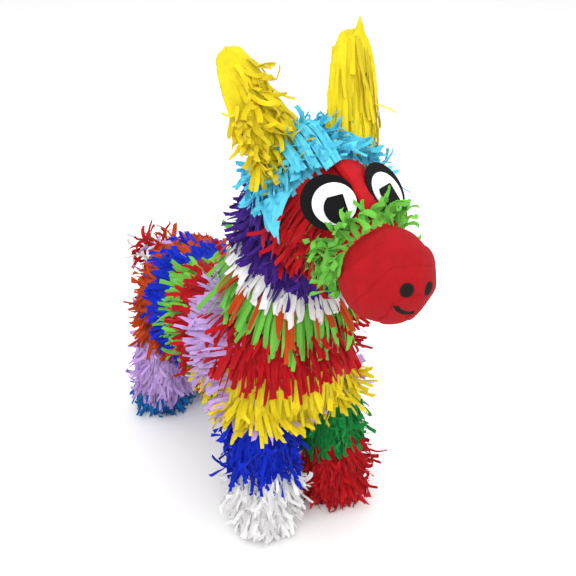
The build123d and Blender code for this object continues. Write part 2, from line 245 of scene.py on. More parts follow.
def crepe(name, colour):
    """Cut crepe paper: fine cross wrinkles, and painted light and shade: each strand lit or shaded by a
    random amount, and lighter or darker with its wrinkles.
    """
    paint = Paint(name, colour, roughness=0.85, sheen=0.1)
    strand = paint.node("ShaderNodeUVMap", uv_map="strand").outputs["UV"]
    creases = paint.node("ShaderNodeMapping", {"Vector": strand, "Scale": (1.6, 0.25, 1.0)}).outputs[0]
    wrinkle = paint.noise(1.0, 4.0, creases, 0.65)
    # painted light and shade: a random amount per strand plus the wrinkles picks from a darker copy to a
    # lighter copy of the colour
    shade = paint.math("ADD", paint.math("MULTIPLY", paint.attribute("strand_shade"), 0.7), wrinkle)
    dark = paint.mix(paint.remap(shade, 0.3, 0.8), toned(colour, 0.72), colour)
    lit = paint.mix(paint.remap(shade, 0.85, 1.3), dark, toned(colour, 1.25))
    paint.colour(lit)
    paint.bump(wrinkle, 0.4, 0.0006)
    paint.glow_through(lit, 0.28)
    return paint.material


def tissue(name, colour):
    """Uncut tissue pasted down smooth, with long soft wrinkles, with painted shade in their hollows, and the
    whole sheet darker than its colour as painted shade.
    """
    paint = Paint(name, colour, roughness=0.85)
    place = paint.place()
    folds = paint.noise(110.0, 5.0, place, 0.62)
    fibre = paint.noise(1100.0, 2.0, place)
    # painted shade: darker where the folds are low, and the whole sheet below its own colour
    paint.colour(paint.mix(paint.remap(folds, 0.3, 0.7), toned(colour, 0.70), toned(colour, 0.95)))
    height = paint.math("ADD", folds, paint.math("MULTIPLY", fibre, 0.12))
    paint.bump(height, 0.45, 0.0014)
    return paint.material


def wound_tissue(colour):
    """The red tissue of the muzzle, with painted light and shade over its folds, and its nostrils and smile
    painted on in black.
    """
    paint = Paint("wound_red_tissue", colour, roughness=0.8)
    paint.shader.inputs["Specular IOR Level"].default_value = 0.12
    place = paint.place()
    folds = paint.noise(70.0, 5.0, place, 0.6)
    fibre = paint.noise(1100.0, 2.0, place)
    # painted light and shade: darker where the folds are low, lighter where they are high
    red = paint.mix(paint.remap(folds, 0.3, 0.7), toned(colour, 0.88), toned(colour, 1.12))
    dabs = paint.remap(paint.noise(900.0, 2.0, place), 0.0, 1.0, -0.18, 0.18)
    ink = paint.remap(paint.math("ADD", paint.attribute("ink"), dabs), 0.3, 0.72)
    paint.colour(paint.mix(ink, red, (0.012, 0.008, 0.008)))
    paint.bump(paint.math("ADD", folds, paint.math("MULTIPLY", fibre, 0.15)), 0.6, 0.002)
    return paint.material


def papier_mache():
    """Dried paste over torn newsprint: pale grey, blotched, with the edges of the torn sheets."""
    paint = Paint("papier_mache", (0.62, 0.6, 0.56), roughness=0.9)
    place = paint.place()
    sheets = paint.node("ShaderNodeTexVoronoi", {"Vector": place, "Scale": 26.0}, feature="DISTANCE_TO_EDGE")
    edge = paint.remap(sheets.outputs["Distance"], 0.0, 0.05)
    blotch = paint.noise(60.0, 5.0, place, 0.65)
    plain = paint.mix(paint.remap(blotch, 0.35, 0.7), (0.5, 0.48, 0.45), (0.72, 0.7, 0.67))
    paint.colour(paint.mix(edge, (0.44, 0.42, 0.4), plain))
    paint.bump(paint.math("ADD", edge, blotch), 0.4, 0.0012)
    return paint.material


def card(name, colour, roughness, gloss=0.25):
    """Thin card or printed paper, with a faint fibre and a few scuffs."""
    paint = Paint(name, colour, roughness=roughness)
    paint.shader.inputs["Specular IOR Level"].default_value = gloss
    place = paint.place()
    fibre = paint.noise(700.0, 3.0, place, 0.7)
    scuff = paint.noise(120.0, 6.0, place, 0.7)
    base = paint.mix(paint.remap(fibre, 0.3, 0.7), toned(colour, 0.9), toned(colour, 1.08))
    lighter = tuple(c + 0.006 for c in toned(colour, 1.1))
    paint.colour(paint.mix(paint.remap(scuff, 0.62, 0.75), base, lighter))
    paint.bump(paint.math("ADD", fibre, scuff), 0.15, 0.0004)
    return paint.material


def wood():
    paint = Paint("dowel_wood", (0.6, 0.42, 0.24), roughness=0.6)
    stretched = {"Vector": paint.place(), "Scale": (1.0, 0.08, 1.0)}
    grain = paint.noise(700.0, 4.0, paint.node("ShaderNodeMapping", stretched).outputs[0])
    paint.colour(paint.mix(grain, (0.42, 0.26, 0.13), (0.72, 0.53, 0.32)))
    paint.bump(grain, 0.2, 0.0004)
    return paint.material


def wire():
    paint = Paint("galvanised_wire", (0.55, 0.55, 0.56), roughness=0.35)
    paint.shader.inputs["Metallic"].default_value = 1.0
    spangle = paint.noise(400.0, 4.0, paint.place())
    paint.colour(paint.mix(spangle, (0.42, 0.42, 0.44), (0.66, 0.66, 0.67)))
    paint.bump(spangle, 0.15, 0.0003)
    return paint.material


COLOURS = {
    "yellow": (0.80, 0.66, 0.015),
    "light_blue": (0.13, 0.68, 0.88),
    "red": (0.53, 0.005, 0.011),
    "lime": (0.19, 0.60, 0.075),
    "green": (0.008, 0.27, 0.05),
    "blue": (0.003, 0.026, 0.57),
    "purple": (0.062, 0.016, 0.265),
    "orange": (0.56, 0.065, 0.006),
    "lilac": (0.62, 0.42, 0.78),
    "turquoise": (0.006, 0.16, 0.48),
    "white": (0.90, 0.89, 0.89),
}
MUZZLE_RED = (0.35, 0.006, 0.010)
CREPE = {name: crepe(f"crepe_{name}", colour) for name, colour in COLOURS.items()}
TISSUE = {name: tissue(f"tissue_{name}", colour) for name, colour in COLOURS.items()}


# ---------------------------------------------------------------- strands of cut crepe
@dataclass(frozen=True)
class Cut:
    """How the strands of a row are cut and how they have curled. Angles are in degrees."""

    length: float = 0.030
    width: float = 0.0043
    lift: float = 9.0  # off the surface, where the row leaves it
    stray: float = 5.0  # aside, where the row leaves it
    curl: float = 0.5  # outwards at each bend
    frizz: float = 4.0  # either way at each bend
    twist: float = 5.0  # about the strand at each bend
    droop: float = 0.03
    wild: float = 0.12  # share of the strands that stand away from their row
    clear: float = 0.0016  # least distance from any shell
    uneven: float = 0.14  # spread of the lengths
    tip: float = 1.0  # width of the tip over the width of the strand
    over_eyes: bool = False


@dataclass
class Roots:
    """Where the strands of a row start: points, the way out of the surface, and the way the row points."""

    points: np.ndarray
    out: np.ndarray
    heading: np.ndarray

    def kept(self, mask):
        return Roots(self.points[mask], self.out[mask], self.heading[mask])

    def thinned(self, share):
        return self.kept(rng.random(len(self.points)) < share)


def ring(bar, x, spacing=0.0040, arc=(-180, 180), toward=1.0, down=0.0, lean=0.0, wobble=0.0012):
    """Roots round a bar. They point along it, toward its end or its start, with a share of straight down.

    The ring leans: it is moved along the bar by lean at angle 0, and by as much the other way opposite.
    """
    radius = float(np.linalg.norm(bar.surface(x, 0.0)[0] - (bar.start + x * bar.along)))
    low, high = radians(arc[0]), radians(arc[1])
    count = max(3, int((high - low) * radius / spacing))
    angle = np.linspace(low, high, count, endpoint=False) + rng.uniform(-0.15, 0.15, count) * spacing / radius
    ragged = wobble * (waves(angle) + rng.normal(0, 0.3, count))
    points, out = bar.surface(x + lean * np.cos(angle) + ragged, angle)
    heading = toward * bar.along * np.ones((count, 1)) - UP * down
    return Roots(points, out, unit(heading - out * dots(heading, out)))


class Eye:
    """The frame of an eye's stack of cards."""

    def __init__(self, side):
        self.middle = np.array((side * 0.031, -0.170, 0.422))
        self.out = unit(np.array((side * 0.32, -0.70, 0.63)))

    def place(self, points):
        """How far each point is in front of the eye's seat, and how far from the middle of the disc."""
        front = (points - self.middle) @ self.out
        beside = points - self.middle - front[..., None] * self.out
        return front, np.linalg.norm(beside, axis=-1)


EYES = (Eye(-1), Eye(1))
EYE_RADIUS, EYE_STACK = 0.0255, 0.0036
EYE_GAP = 0.001  # kept free round an eye's cards
EYE_VIEW = 0.03  # kept free in front of them
EYE_SEAT = 0.012  # how far back a point is still moved out in front of the cards


def in_front_of_eyes(points):
    hidden = np.zeros(points.shape[:-1], bool)
    for eye in EYES:
        front, beside = eye.place(points)
        hidden |= (beside < EYE_RADIUS + EYE_GAP) & (front > -EYE_GAP) & (front < EYE_VIEW)
    return hidden


def over_the_eyes(points):
    """Points that would be inside an eye's cards, moved up in front of them."""
    for eye in EYES:
        front, beside = eye.place(points)
        low = (beside < EYE_RADIUS + EYE_GAP) & (front > -EYE_SEAT) & (front < EYE_STACK + EYE_GAP)
        points = points + eye.out * np.where(low, EYE_STACK + EYE_GAP - front, 0)[..., None]
    return points


KICKS = (15, 50)  # degrees that a wild strand bends near its root
KINKS = (-60.0, 35.0, 70.0)  # degrees of a fold across a strand
WILD_SWING, WILD_TWIST = 7, 14  # degrees, on top of the cut's own
FLOOR_GAP = 0.65  # least height of a strand over the floor, as a share of its width


def grow(roots, cut):
    """The centre line and the sideways direction of each strand, bend by bend, kept outside the shells."""
    count = len(roots.points)
    round_ring = np.linspace(0, 2 * pi, count)

    def spread(size):
        return rng.normal(0, size, count)

    length = cut.length * np.exp(spread(cut.uneven) + 0.05 * waves(round_ring, 5, 3, 25))
    lift = cut.lift * (1 + 0.35 * waves(round_ring, 5, 3, 25))
    aside = cut.stray * waves(round_ring, 5, 3, 30)
    way = turn(roots.heading, roots.out, radians(1) * (aside + spread(cut.stray * 0.3)))
    side = unit(np.cross(way, roots.out))
    way = turn(way, side, radians(1) * (lift + spread(cut.lift * 0.12)))
    wild = rng.random(count) < cut.wild
    curl = cut.curl + spread(cut.frizz * 0.6)
    swing = spread(cut.stray * 0.25) + np.where(wild, spread(WILD_SWING), 0)
    twist = radians(1) * (spread(cut.twist) + np.where(wild, spread(WILD_TWIST), 0))
    kick_at = np.where(wild, rng.integers(0, 3, count), -1)
    kick = rng.uniform(*KICKS, count)
    kinked = rng.random(count) < 0.5 * cut.wild + 0.01 * cut.frizz
    kink_at = np.where(kinked, rng.integers(3, STEPS, count), -1)
    kink = rng.choice(KINKS, count)
    point = roots.points + roots.out * cut.clear * 0.4
    line, sides = [point], [side]
    for step in range(STEPS):
        ease = min(1.0, (step + 0.5) / 3)
        bend = ease * (curl + spread(cut.frizz * 0.8)) + np.where(kick_at == step, kick, 0)
        bend = bend + np.where(kink_at == step, kink, 0)
        way = turn(way, side, radians(1) * bend)
        way = turn(way, unit(np.cross(side, way)), radians(1) * ease * (swing + spread(cut.frizz * 0.5)))
        way = unit(way - UP * cut.droop)
        moved = point + way * (length / STEPS)[:, None]
        for shell in SHELLS:
            far, out = shell.distance(moved)
            moved = moved + out * np.maximum(cut.clear * min(1.0, 0.5 + step / 2) - far, 0)[:, None]
        if cut.over_eyes:
            moved = over_the_eyes(moved)
        moved[:, 0] = np.clip(moved[:, 0], -REACH, REACH)
        moved[:, 2] = np.maximum(moved[:, 2], cut.width * FLOOR_GAP)
        way = unit(moved - point)
        side = unit(turn(side, way, twist) - way * dots(side, way))
        point = moved
        line.append(point)
        sides.append(side)
    return np.stack(line, axis=1), np.stack(sides, axis=1)


def ribbon_mesh(name, line, sides, cut, material):
    """Closed thin ribbons along the lines, three points wide, with a slanting end."""
    count, stations = line.shape[:2]
    way = unit(np.gradient(line, axis=1))
    sides = unit(sides - way * dots(sides, way))
    face = np.cross(sides, way)
    width = cut.width * np.exp(rng.normal(0, 0.16, count))
    share = np.linspace(0, 1, stations)
    flare = rng.uniform(-0.2, 0.1, count)[:, None] * share
    taper = 1 - (1 - cut.tip * rng.uniform(0.6, 1.2, count)[:, None]) * np.maximum(share * 5 - 4, 0)
    half = (0.5 * width[:, None] * (1 + flare) * taper)[..., None]
    camber = rng.uniform(-0.2, 0.55, count)[:, None, None] * smooth(share, 0, 0.4)[None, :, None]
    slant = rng.uniform(-0.7, 0.7, count)[:, None, None] * way * half * (share == 1)[:, None]
    left, right = line - sides * half - slant, line + sides * half + slant
    middle = line + face * half * camber
    skin = face * (PAPER / 2)
    stacked = [left + skin, middle + skin, right + skin, right - skin, middle - skin, left - skin]
    vertices = np.stack(stacked, axis=2).reshape(-1, 3)

    rim = len(stacked)  # points round a strand
    around, onward = np.arange(rim), (np.arange(rim) + 1) % rim
    step = np.arange(stations - 1)[:, None] * rim
    quads = [step + around, step + onward, step + onward + rim, step + around + rim]
    walls = np.stack(quads, axis=-1).reshape(-1, 4)
    root = [[0, 5, 4, 1], [1, 4, 3, 2]]
    tip = np.array([[0, 1, 4, 5], [1, 2, 3, 4]]) + rim * (stations - 1)
    faces = np.concatenate([walls, root, tip])
    faces = (np.arange(count)[:, None, None] * rim * stations + faces).reshape(-1, 4)

    mesh = quad_mesh(name, vertices, faces, material)
    # a random amount of painted light or shade for each strand
    paint_points(mesh, "strand_shade", np.repeat(rng.random(count), rim * stations))
    across = np.tile([0, 0.5, 1, 1, 0.5, 0], count * stations) * cut.width / MM
    down = np.repeat((share * cut.length / MM)[None, :] + 50 * rng.random((count, 1)), rim)
    coordinates = np.stack([across + np.repeat(rng.random(count) * 90, rim * stations), down], axis=-1)
    layer = mesh.uv_layers.new(name="strand")
    layer.data.foreach_set("uv", coordinates[faces.ravel()].ravel())
    mesh.set_sharp_from_angle(angle=radians(60))
    return mesh


def quad_mesh(name, vertices, faces, material):
    mesh = bpy.data.meshes.new(name)
    mesh.vertices.add(len(vertices))
    mesh.vertices.foreach_set("co", np.asarray(vertices, np.float32).ravel())
    mesh.loops.add(faces.size)
    mesh.loops.foreach_set("vertex_index", faces.astype(np.int32).ravel())
    mesh.polygons.add(len(faces))
    mesh.polygons.foreach_set("loop_start", (np.arange(len(faces)) * 4).astype(np.int32))
    mesh.update(calc_edges=True)
    mesh.shade_smooth()
    mesh.materials.append(material)
    return mesh


def paint_points(mesh, name, values):
    attribute = mesh.attributes.new(name, "FLOAT", "POINT")
    attribute.data.foreach_set("value", np.asarray(values, np.float32).ravel())


# ---------------------------------------------------------------- sheets of uncut tissue
def sheet_mesh(name, points, out, thick, material, keep=None):
    """A closed sheet from a grid of points: a top, a bottom and edges. Only the cells in keep are made."""
    rows, columns = points.shape[:2]
    index = np.arange(rows * columns).reshape(rows, columns)
    cells = np.stack([index[:-1, :-1], index[1:, :-1], index[1:, 1:], index[:-1, 1:]], axis=-1)
    cells = cells.reshape(-1, 4) if keep is None else cells[keep]
    first = points.reshape(-1, 3)[cells]
    outward = out.reshape(-1, 3)[cells[:, 0]]
    facing = dots(np.cross(first[:, 1] - first[:, 0], first[:, 2] - first[:, 1]), outward)
    if np.median(facing) < 0:
        cells = cells[:, ::-1]
    used, flat = np.unique(cells, return_inverse=True)
    flat = flat.reshape(cells.shape)
    surface = points.reshape(-1, 3)[used]
    under = surface - out.reshape(-1, 3)[used] * thick
    edges = {(a, b) for quad in flat.tolist() for a, b in zip(quad, quad[1:] + quad[:1])}
    rim = np.array(sorted((a, b) for a, b in edges if (b, a) not in edges))
    count = len(used)
    walls = np.stack([rim[:, 1], rim[:, 0], rim[:, 0] + count, rim[:, 1] + count], axis=-1)
    faces = np.concatenate([flat, flat[:, ::-1] + count, walls])
    mesh = quad_mesh(name, np.concatenate([surface, under]), faces, material)
    mesh.set_sharp_from_angle(angle=radians(50))
    return mesh


BAND_CELL, BAND_ANGLES = 0.003, 150  # length of a cell along a bar, and points round it
BALL_END = -0.050  # a band that starts below this comes near the pole of its bar


def band(name, bar, low, high, colour, lift=0.0009, arc=(-180, 180), drop=None, ripple=0.0003, lean=0.0):
    """The uncut edge of the rows: tissue pasted round a bar between two distances along it."""
    finer = 1 if drop is None else 2  # small cells follow the edge of what is dropped
    closing = 2 if low < BALL_END else 1  # the rings lie closer together at the pole
    rings = max(3, int(finer * (high - low) / BAND_CELL))
    x = low + (high - low) * np.linspace(0, 1, rings) ** closing
    angle = np.linspace(radians(arc[0]), radians(arc[1]), BAND_ANGLES * finer)
    grid_x, grid_a = np.meshgrid(x, angle, indexing="ij")
    grid_x = grid_x + lean * np.cos(grid_a)
    wrinkles = ripple * (np.sin(grid_a * 37 + grid_x * 300) + np.sin(grid_a * 61 - grid_x * 500))
    points, out = bar.surface(grid_x, grid_a)
    keep = None if drop is None else ~drop((points[:-1, :-1] + points[1:, 1:]) / 2)
    return sheet_mesh(name, points + out * (lift + wrinkles)[..., None], out, SHEET, TISSUE[colour], keep)


def patch(name, bar, corners, colour, lift, ripple=0.0006, size=36):
    """A pasted piece of tissue with four corners, each a distance along the bar and an angle round it."""
    u, v = np.meshgrid(np.linspace(0, 1, size), np.linspace(0, 1, size), indexing="ij")
    shares = ((1 - u) * (1 - v), u * (1 - v), u * v, (1 - u) * v)
    x, angle = (sum(corner[i] * share for corner, share in zip(corners, shares)) for i in (0, 1))
    points, out = bar.surface(x * MM, np.radians(angle))
    folds = ripple * (waves(u * 6 + v * 2, 4, 2, 6) + 0.5 * waves(v * 9 - u * 3, 4, 2, 7))
    return sheet_mesh(name, points + out * (lift(u, v) + folds)[..., None], out, SHEET, TISSUE[colour])


# ---------------------------------------------------------------- room that the moving pieces need
swing = next(joint for joint in frame["joints"] if joint["name"] == "loop_swing")
FLAP_LOW, FLAP_HIGH = (np.array(corner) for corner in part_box("fill_flap"))
FLAP_BELOW = 0.02  # everything less than this below the flap counts as near it
OPENED_ENDS = 0.007  # room for the opened flap: this far before and behind it,
OPENED_FROM, OPENED_TO = 0.006, 0.022  # from this far before the crease to this far past it
OPENED_CLEAR = 0.0026  # and this far above the barrel
LOOP_SIDE, LOOP_SWEEP, LOOP_REACH = 0.0150, radians(64), 0.062  # half width, half swing, length: with room


def over_flap(points, before=0.0012, behind=0.0018):
    """True where a point is over the fill flap, or closer than this before or behind it."""
    x, y, z = np.moveaxis(points, -1, 0)
    beside = (y > FLAP_LOW[1] - before) & (y < FLAP_HIGH[1] + behind) & (z > FLAP_LOW[2] - FLAP_BELOW)
    return beside & (x > FLAP_LOW[0] - 0.001) & (x < FLAP_HIGH[0] + 0.0016)


def in_flap_way(points):
    """True where a point of a strand would be in the way of the fill flap."""
    x, y, z = np.moveaxis(points, -1, 0)
    opened = (y > FLAP_LOW[1] - OPENED_ENDS) & (y < FLAP_HIGH[1] + OPENED_ENDS)
    opened &= (x > FLAP_HIGH[0] - OPENED_FROM) & (x < FLAP_HIGH[0] + OPENED_TO)
    opened &= (z > FLAP_LOW[2] - FLAP_BELOW) & (BARREL.distance(points)[0] > OPENED_CLEAR)
    return over_flap(points, 0.002, 0.004) | opened


def in_loop_way(points):
    """True where a point of the fringe would be in the way of the hanging loop as it swings."""
    axis = np.array(swing["axis"])
    from_dowel = points - np.array(swing["pos_m"])
    along = from_dowel @ axis
    out = from_dowel - along[..., None] * axis
    radius = np.linalg.norm(out, axis=-1)
    upright = out[..., 2] / np.maximum(radius, 1e-6)
    return (np.abs(along) < LOOP_SIDE) & (upright > cos(LOOP_SWEEP)) & (radius < LOOP_REACH)


def in_the_way(points):
    return in_flap_way(points) | in_loop_way(points)


# ---------------------------------------------------------------- pieces
def show(name, meshes, body="root", node=None):
    piece = merged(name, meshes)
    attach(piece, body)
    if node:
        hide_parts(node)
    return piece


def merged(name, meshes):
    """One object of several meshes, with their materials kept."""
    objects = [bpy.data.objects.new(name, mesh) for mesh in meshes]
    for thing in objects:
        bpy.context.scene.collection.objects.link(thing)
    first = objects[0]
    if len(objects) > 1:
        with bpy.context.temp_override(active_object=first, selected_editable_objects=objects):
            bpy.ops.object.join()
    first.name = first.data.name = name
    return first


def strands(name, colour, rows, body="root"):
    """The meshes of several rows, each a pair of roots and a cut, and a colour of its own if it has one."""
    made = []
    for roots, cut, *own in rows:
        line, sides = grow(roots, cut)
        keep = np.ones(len(line), bool)
        if body == "root":
            keep &= ~in_the_way(line).any(axis=1)
        if not cut.over_eyes:
            keep &= ~in_front_of_eyes(line).any(axis=1)
        if keep.any():
            made.append(ribbon_mesh(name, line[keep], sides[keep], cut, CREPE[own[0] if own else colour]))
    return made


def fringe(name, colour, rows, under=(), body="root", node=None):
    return show(name, [*under, *strands(name, colour, rows, body)], body, node)


# ---- the barrel: rows that point to the rear and a little down
MIDDLE = BARREL.length / 2
FLANK = Cut(length=0.031, width=0.0045, lift=11, stray=7, curl=1.0, frizz=5, wild=0.16, droop=0.02)
FLANK_LIFT, FLANK_LAP = 0.0010, 0.002  # lift of a skin in the middle, and its gain per metre forward


def flank(name, colour, places, edges, node, cut=FLANK, extra=(), lean=0.014):
    """A colour of the barrel: whole rows, then thin ones of another colour as (place, share, colour)."""
    rows = [(ring(BARREL, MIDDLE + x * MM, down=0.25, lean=lean), cut) for x in places]
    for x, share, own in extra:
        rows.append((ring(BARREL, MIDDLE + x * MM, down=0.25, lean=lean).thinned(share), cut, own))
    low, high = (MIDDLE + x * MM for x in edges)
    lift = FLANK_LIFT - FLANK_LAP * edges[0] * MM  # each colour laps over the one behind it
    skin = band(name, BARREL, low, high, colour, lift, drop=over_flap, lean=lean)
    return fringe(name, colour, rows, [skin], node=node)


flank("fringe_body_lilac", "lilac", (-110, -99, -88, -76, -65, -54), (-128, -38), "body_fringe_lilac")
SPARSE_LIME, SPARSE_RED = ((-19, 0.2, "lime"),), ((6, 0.2, "red"),)
flank("fringe_body_red", "red", (-44, -34, -24, -15), (-48, 0), "body_fringe_red", extra=SPARSE_LIME)
flank("fringe_body_lime", "lime", (-5, 4, 12), (-8, 28), "body_fringe_green", extra=SPARSE_RED)
BLUE_ROWS, BLUE_EXTRA = (22, 32, 42, 52, 60), ((30, 0.15, "lime"),)
flank("fringe_body_blue", "blue", BLUE_ROWS, (20, 86), "body_fringe_blue", extra=BLUE_EXTRA)
RUMP = replace(FLANK, lift=8, length=0.025, droop=0.04)
flank(
    "fringe_body_orange",
    "orange",
    (74, 83, 92, 101, 110, 118),
    (68, 122),
    "body_fringe_orange",
    RUMP,
    ((66, 0.7, "blue"), (74, 0.4, "blue"), (86, 0.2, "red"), (100, 0.2, "red")),
    lean=0.026,
)
flank(
    "fringe_rump",
    "lilac",
    (126, 133, 140, 147, 152, 156),
    (120, 157),
    "rump_fringe_lilac",
    replace(RUMP, lift=16, stray=14, droop=0.06, wild=0.25),
    ((130, 0.4, "orange"), (138, 0.3, "orange"), (136, 0.15, "red")),
    lean=0.0,
)

# ---- the chest: rows round the front of the barrel that hang down
HANG = Cut(
    length=0.036, width=0.0047, lift=7, stray=4, curl=-0.3, frizz=3, wild=0.08, droop=0.05, clear=0.0030
)


def chest(colour, heights, edges, cut, reach, node):
    base = CHEST.start[2]
    rows = [(ring(CHEST, z * MM - base, 0.0044, (-reach, reach), toward=-1.0), cut) for z in heights]
    low, high = (z * MM - base for z in edges)
    skin = band(f"chest_{colour}_skin", CHEST, low, high, colour, 0.0020, (-reach, reach), ripple=0.0006)
    return fringe(f"fringe_chest_{colour}", colour, rows, [skin], node=node)


chest("red", (262, 254, 231, 223), (206, 270), HANG, 104, "chest_fringe_red")
YELLOW = replace(HANG, length=0.032, frizz=5, wild=0.14, lift=8)
chest("yellow", (192, 181, 171, 162, 154, 147), (138, 206), YELLOW, 116, "chest_fringe_yellow")

# ---- the neck: rows that hang over the shoulders
COLLAR = Cut(
    length=0.050, width=0.0058, lift=26, stray=5, curl=-2.0, frizz=3, wild=0.04, droop=0.05, clear=0.009
)
NAPE = Cut(length=0.030, width=0.0050, lift=13, stray=6, curl=-0.6, frizz=4, wild=0.12, droop=0.03)
COLLAR_LEAN = -0.016


def neck(colour, places, edges, cut, share=1.0, spacing=0.0045, lift=0.002, extra=(), extra_skins=()):
    rings = [ring(NECK, x * MM, spacing, toward=-1.0, lean=COLLAR_LEAN).thinned(share) for x in places]
    rows = [*((roots, cut) for roots in rings), *extra]
    skin = band(f"neck_{colour}_skin", NECK, edges[0] * MM, edges[1] * MM, colour, lift, lean=COLLAR_LEAN)
    node = f"neck_fringe_{'green' if colour == 'lime' else colour}"
    return fringe(f"fringe_neck_{colour}", colour, rows, [skin, *extra_skins], node=node)


def nape():
    """The purple rows that go on from the neck over the back and the underside of the head."""
    places = (-53, -48, -42, -34, -25, -16, -8, 0, 8, 15)
    return [(ring(HEAD, x * MM, 0.0045, (84, 276), toward=-0.2, down=1.0), NAPE) for x in places]


def nape_skin():
    return band("nape_skin", HEAD, -0.055, 0.032, "purple", arc=(88, 272))


neck("lime", (70, 76), (20, 80), COLLAR, spacing=0.0060, lift=0.003)
neck("orange", (80, 84), (79, 86), replace(COLLAR, clear=0.012, length=0.038), 0.25)
neck("white", (89, 95), (85, 98), replace(COLLAR, length=0.026, lift=20, clear=0.007), 0.75)
PURPLE_ROWS = (101, 107, 114, 121, 129, 137)
neck("purple", PURPLE_ROWS, (96, 150), NAPE, lift=0.0009, extra=nape(), extra_skins=[nape_skin()])

# ---- the head
CROWN = Cut(length=0.026, width=0.0048, lift=20, stray=22, curl=-1, frizz=8, twist=9, droop=0.03, wild=0.4)
CHEEK = Cut(length=0.030, width=0.0042, lift=7, stray=8, frizz=5, droop=0.05, wild=0.15, clear=0.002)
SHRED = Cut(
    length=0.022, width=0.0052, lift=26, stray=30, curl=5, frizz=13, twist=14, wild=0.45, over_eyes=True
)
# The corners of pasted pieces: millimetres along the head, and degrees round it.
STRIPS = (
    ((-28, -16), (-26, -8), (40, -13), (42, -22)),
    ((-24, -7), (-22, 1), (38, -4), (40, -12)),
    ((-26, -26), (-27, -17), (37, -23), (34, -31)),
    ((-18, -38), (-20, -29), (31, -33), (28, -42)),
)
DART = ((12, -84), (34, -52), (46, -100), (46, -106))
LOBE = ((31, -10), (31, 22), (88, 14), (88, -10))


def rising(low, rise):
    """The lift of a patch that stands further off towards one of its long edges."""
    return lambda u, v: low + rise * v


def plump(u, v):
    """The lift of the lobe between the eyes: fullest along its middle, and lower towards the muzzle."""
    return 0.004 + 0.011 * (np.sin(pi * v) * np.minimum(1, 9 * u + 0.2)) ** 0.5 * (1 - 0.7 * u)


def crown():
    places = (-53, -49, -44, -36, -28, -20, -12, -5, 2, 8, 12)
    rows = [(ring(HEAD, x * MM, arc=(-88, 88), down=0.3), CROWN) for x in places]
    standing = replace(CROWN, length=0.032, lift=60, curl=0, frizz=11)
    rows += [(ring(HEAD, x * MM, 0.0048, (50, 84), toward=0.6, down=0.2), standing) for x in (22, 30, 38)]
    skin = band("crown_skin", HEAD, -0.055, 0.030, "light_blue", arc=(-92, 92))
    strips = [patch("crown_strip", HEAD, strip, "light_blue", rising(0.011, 0.003)) for strip in STRIPS]
    dart = patch("crown_dart", HEAD, DART, "light_blue", rising(0.011, 0.004))
    return fringe("fringe_crown", "light_blue", rows, [skin, dart, *strips], node="crown_fringe_light_blue")


def face():
    rows = [(ring(HEAD, x * MM, arc=(88, 272), toward=-0.35, down=1.0), CHEEK) for x in (22, 29)]
    places = (36, 43, 50, 57, 64, 71)
    rows += [(ring(HEAD, x * MM, arc=(48, 312), toward=-0.35, down=1.0), CHEEK) for x in places]
    skin = band("face_skin", HEAD, 0.029, 0.125, "red")
    lobe = patch("face_lobe", HEAD, LOBE, "red", plump, ripple=0.0003)
    return fringe("fringe_face_red", "red", rows, [skin, lobe], node="face_fringe_red")


def muzzle_ring():
    """Shreds that stand up in front of the eyes and hang beside the muzzle."""
    rows = [(ring(HEAD, x * MM, 0.0048, (-75, 75), toward=-1.0, down=0.3), SHRED) for x in (89, 96, 103)]
    hanging = replace(SHRED, lift=16, stray=16, curl=1, wild=0.35)
    for low, high in ((60, 130), (-130, -60)):
        for x in (62, 70, 78, 86, 94, 101):
            rows.append((ring(HEAD, x * MM, 0.0054, (low, high), toward=0.1, down=1.0), hanging))
    return fringe("fringe_muzzle_lime", "lime", rows, node="muzzle_fringe_green")


crown()
face()
muzzle_ring()

# ---- the legs: bushy rows that hang down
BUSH = Cut(length=0.028, width=0.0043, lift=16, stray=16, curl=0, frizz=11, twist=10, droop=0.06, wild=0.45)
LEG_COLOURS = {  # the upper colour, the lower one and the height between them in millimetres
    "front_right": ("blue", "white", 72),
    "front_left": ("green", "red", 80),
    "hind_right": ("lilac", "turquoise", 36),
    "hind_left": ("lilac", "turquoise", 36),
}
LEG_ROW, LEG_HEM = 0.010, 0.004  # from row to row, and how far the skin goes on below the lowest row
THIGH_ROWS = (0.150, 0.159, 0.168, 0.176, 0.182)  # heights of the orange rows at the top of a hind leg


def leg_cut(name, height):
    """Shorter strands near the floor, and a neater cut on the hind legs."""
    cut = replace(BUSH, length=min(BUSH.length, 1.15 * height))
    if height < 0.040:
        cut = replace(cut, lift=6, curl=-2, wild=0.15)
    return replace(cut, lift=8, wild=0.2) if name.startswith("hind") else cut


def dress_leg(name):
    leg = LEGS[name]
    high_colour, low_colour, edge = LEG_COLOURS[name]
    base = leg.start[2]
    parts = {high_colour: (edge * MM + 0.014, 0.144), low_colour: (0.012, edge * MM + 0.010)}
    for colour, (lowest, highest) in parts.items():
        piece = f"fringe_leg_{name}_{colour}"
        low, high = lowest - base, highest - base
        heights = np.arange(lowest, highest, LEG_ROW)
        rows = [(ring(leg, z - base, toward=-1.0), leg_cut(name, z)) for z in heights]
        if colour == "lilac":
            rows += [(ring(leg, z - base, toward=-1.0), leg_cut(name, z), "orange") for z in THIGH_ROWS]
            high = THIGH_ROWS[-1] - base
        skin = band(piece, leg, low - LEG_HEM, high, colour)
        fringe(piece, colour, rows, [skin], node=f"leg_fringe_{name}_{colour}")


for leg_name in LEGS:
    dress_leg(leg_name)


